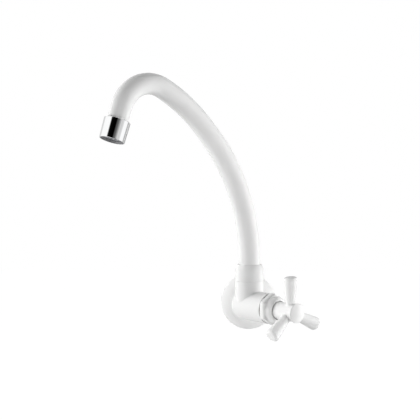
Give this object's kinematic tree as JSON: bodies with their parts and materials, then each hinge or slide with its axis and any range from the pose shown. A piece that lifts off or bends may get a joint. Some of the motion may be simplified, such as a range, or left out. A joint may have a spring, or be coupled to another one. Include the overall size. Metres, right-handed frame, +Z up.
{
  "type": "wall-mounted kitchen tap",
  "caption": "Wall-mounted plastic cold-water tap with a turning swan-neck spout, a screw-down valve with a cross-arm handle and a chromed aerator.",
  "frame": {"origin": "centre of the wall flange's back face, on the inlet shank's axis", "axes": "+Y into the wall along the inlet shank, +Z up along the neck, -Y into the room"},
  "size_m": [0.2048, 0.1614, 0.2532],
  "materials": {
    "wall_flange": "glossy moulded white plastic",
    "tap_body": "glossy moulded white plastic",
    "valve_seat": "turned brass",
    "seat_washer": "matt black rubber",
    "washer_screw": "turned brass",
    "jumper": "turned brass",
    "spindle": "turned brass",
    "spindle_seals": "matt black rubber",
    "spindle_clip": "plain stainless steel",
    "spindle_nut": "turned brass",
    "bonnet_gasket": "red fibre sheet",
    "bonnet": "glossy moulded white plastic",
    "handle": "glossy moulded white plastic",
    "handle_insert": "turned brass",
    "handle_screw": "plain stainless steel",
    "handle_button": "glossy moulded white plastic",
    "neck_ring": "glossy moulded white plastic",
    "spout_bush": "satin natural acetal",
    "thrust_washer": "satin natural acetal",
    "spout_tail": "satin natural acetal",
    "spout_seals": "matt black rubber",
    "spout_tube": "glossy moulded white plastic",
    "outlet_nipple": "satin natural acetal",
    "aerator_washer": "matt black rubber",
    "aerator_screens": "plain stainless steel",
    "aerator_core": "satin grey plastic",
    "aerator_housing": "bright chrome plating"
  },
  "bodies": {
    "tap": {"wall_flange": "wall_flange", "tap_body": "tap_body", "valve_seat": "valve_seat", "spindle_nut": "spindle_nut", "bonnet_gasket": "bonnet_gasket", "bonnet": "bonnet", "neck_ring": "neck_ring", "spout_bush": "spout_bush", "thrust_washer": "thrust_washer"},
    "spout": {"spout_tail": "spout_tail", "spout_seals": "spout_seals", "spout_tube": "spout_tube", "outlet_nipple": "outlet_nipple", "aerator_washer": "aerator_washer", "aerator_screens": "aerator_screens", "aerator_core": "aerator_core", "aerator_housing": "aerator_housing"},
    "valve_disc": {"jumper": "jumper", "seat_washer": "seat_washer", "washer_screw": "washer_screw"},
    "handle": {"spindle": "spindle", "spindle_seals": "spindle_seals", "spindle_clip": "spindle_clip", "handle": "handle", "handle_insert": "handle_insert", "handle_screw": "handle_screw", "handle_button": "handle_button"}
  },
  "joints": [
    {"name": "spout_swivel", "type": "hinge", "parent": "tap", "child": "spout", "pos_m": [0, -0.026, 0], "axis": [0, 0, 1], "range_deg": [-40, 140]},
    {"name": "disc_lift", "type": "slide", "parent": "tap", "child": "valve_disc", "axis": [0.6428, -0.766, 0], "range_m": [0, 0.003]},
    {"name": "handle_turn", "type": "hinge", "parent": "valve_disc", "child": "handle", "pos_m": [0, -0.026, 0], "axis": [0.6428, -0.766, 0], "range_deg": [0, 540]}
  ],
  "couplings": [
    {"joint": "disc_lift", "follows": "handle_turn", "m_per_rad": 0.00031831}
  ]
}
